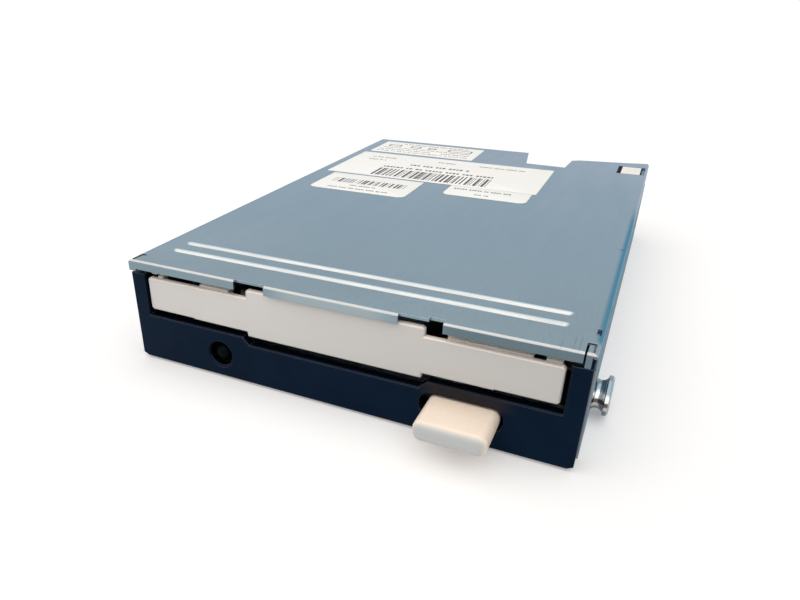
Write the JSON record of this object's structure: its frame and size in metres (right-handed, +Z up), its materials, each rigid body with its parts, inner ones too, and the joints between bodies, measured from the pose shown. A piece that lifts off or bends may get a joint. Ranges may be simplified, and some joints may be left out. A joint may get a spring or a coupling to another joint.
{
  "type": "floppy disk drive",
  "caption": "Slot-loading drive for 3.5-inch disks: pressed steel cover, dark bezel with a sprung door flap, lamp hole and eject button, and the loading, spindle and head mechanisms inside.",
  "frame": {"origin": "middle of the footprint, at the height of the chassis feet", "axes": "X to the right seen from the front, Y from the front to the rear, Z up"},
  "size_m": [0.1086, 0.1598, 0.0255],
  "materials": {
    "zinc_sheet": "zinc-coated sheet, satin",
    "cast_alloy": "cast, satin",
    "dark_plastic": "fine grain, dark blue-black",
    "door_plastic": "fine grain, warm grey",
    "button_plastic": "smooth, cream",
    "label_paper": "matt paper with plain bars",
    "bright_steel": "turned, bright",
    "plated_sheet": "plated sheet",
    "spring_steel": "drawn wire",
    "black_plastic": "moulded",
    "white_plastic": "moulded",
    "lamp_plastic": "tinted lens",
    "circuit_board": "coated laminate",
    "chip_plastic": "moulded package",
    "part_ceramic": "small parts",
    "gold_pins": "plated pins",
    "flex_film": "amber film",
    "copper_wire": "enamelled windings",
    "core_steel": "stacked laminations",
    "magnet": "moulded magnet",
    "bearing_bronze": "sintered",
    "head_ferrite": "polished ferrite"
  },
  "bodies": {
    "chassis": {"chassis_frame": "cast_alloy", "top_cover": "zinc_sheet", "paper_labels": "label_paper", "front_bezel": "dark_plastic", "door_spring": "spring_steel", "slide_springs": "spring_steel", "lever_post": "bright_steel", "lever_spring": "spring_steel", "mounting_studs": "bright_steel", "cover_clip": "white_plastic", "lamp_lens": "lamp_plastic", "lamp_legs": "plated_sheet", "lamp_holder": "black_plastic", "motor_board": "circuit_board", "motor_board_screws": "bright_steel", "main_board": "circuit_board", "main_board_screws": "bright_steel", "control_chips": "chip_plastic", "board_parts": "part_ceramic", "interface_header": "black_plastic", "interface_pins": "gold_pins", "power_header": "white_plastic", "power_pins": "gold_pins", "flex_sockets": "white_plastic", "head_flex": "flex_film", "stepper_flex": "flex_film", "board_link": "flex_film", "switch_bodies": "black_plastic", "spindle_bearing": "bearing_bronze", "stator_core": "core_steel", "stator_coils": "copper_wire", "guide_rods": "bright_steel", "rod_clamps": "plated_sheet", "rod_screws": "bright_steel", "stepper_bracket": "plated_sheet", "stepper_can": "plated_sheet", "screw_bearing": "bearing_bronze", "track_sensor": "black_plastic"},
    "door": {"door_flap": "door_plastic"},
    "slide": {"slide_plate": "plated_sheet", "eject_button": "button_plastic"},
    "holder": {"disk_holder": "plated_sheet", "holder_pins": "bright_steel"},
    "lever": {"shutter_lever": "black_plastic"},
    "rotor": {"rotor_cup": "plated_sheet", "rotor_magnet": "magnet", "spindle_shaft": "bright_steel", "hub_plate": "bright_steel"},
    "chuck_pin": {"drive_pin": "bright_steel"},
    "screw": {"lead_screw": "bright_steel", "stepper_rotor": "magnet"},
    "carriage": {"head_carriage": "black_plastic", "lower_head": "head_ferrite", "screw_follower": "bright_steel", "arm_pin": "bright_steel"},
    "arm": {"upper_arm": "black_plastic", "upper_head": "head_ferrite"},
    "protect_button": {"plunger_protect": "white_plastic"},
    "density_button": {"plunger_density": "white_plastic"},
    "disk_button": {"plunger_disk": "white_plastic"}
  },
  "joints": [
    {"name": "door_swing", "type": "hinge", "parent": "chassis", "child": "door", "pos_m": [0, -0.06705, 0.0224], "axis": [1, 0, 0], "range_deg": [0, 80], "stiffness_Nm_per_rad": 0.002, "springref_deg": -20.05, "deforming": ["door_spring"]},
    {"name": "slide_out", "type": "slide", "parent": "chassis", "child": "slide", "axis": [0, -1, 0], "range_m": [0, 0.005], "deforming": ["slide_springs"]},
    {"name": "holder_drop", "type": "slide", "parent": "chassis", "child": "holder", "axis": [0, 0, -1], "range_m": [0, 0.0026]},
    {"name": "lever_turn", "type": "hinge", "parent": "chassis", "child": "lever", "pos_m": [-0.04, 0.03955, 0.0189], "axis": [0, 0, 1], "range_deg": [0, 55], "deforming": ["lever_spring"]},
    {"name": "spindle_turn", "type": "hinge", "parent": "chassis", "child": "rotor", "pos_m": [0, -0.01945, 0.008], "axis": [0, 0, 1], "continuous": true},
    {"name": "chuck_pin_press", "type": "slide", "parent": "rotor", "child": "chuck_pin", "axis": [0, 0, -1], "range_m": [0, 0.0012], "stiffness_N_per_m": 250, "springref_m": -0.0006},
    {"name": "screw_turn", "type": "hinge", "parent": "chassis", "child": "screw", "pos_m": [0.024, 0.04055, 0.0134], "axis": [0, 1, 0], "range_deg": [0, 1421]},
    {"name": "carriage_travel", "type": "slide", "parent": "chassis", "child": "carriage", "axis": [0, -1, 0], "range_m": [0, 0.0148], "deforming": ["head_flex"]},
    {"name": "arm_lower", "type": "hinge", "parent": "carriage", "child": "arm", "pos_m": [0, 0.04855, 0.0153], "axis": [1, 0, 0], "range_deg": [0, 8.9]},
    {"name": "protect_press", "type": "slide", "parent": "chassis", "child": "protect_button", "axis": [0, 0, -1], "range_m": [0, 0.0012], "stiffness_N_per_m": 120, "springref_m": -0.0005},
    {"name": "density_press", "type": "slide", "parent": "chassis", "child": "density_button", "axis": [0, 0, -1], "range_m": [0, 0.0012], "stiffness_N_per_m": 120, "springref_m": -0.0005},
    {"name": "disk_press", "type": "slide", "parent": "chassis", "child": "disk_button", "axis": [0, 0, -1], "range_m": [0, 0.0012], "stiffness_N_per_m": 120, "springref_m": -0.0005}
  ],
  "couplings": [
    {"joint": "holder_drop", "follows": "slide_out", "ratio": 0.52},
    {"joint": "lever_turn", "follows": "slide_out", "rad_per_m": 191.99},
    {"joint": "arm_lower", "follows": "slide_out", "rad_per_m": 31.067},
    {"joint": "screw_turn", "follows": "carriage_travel", "rad_per_m": 1675.5}
  ]
}
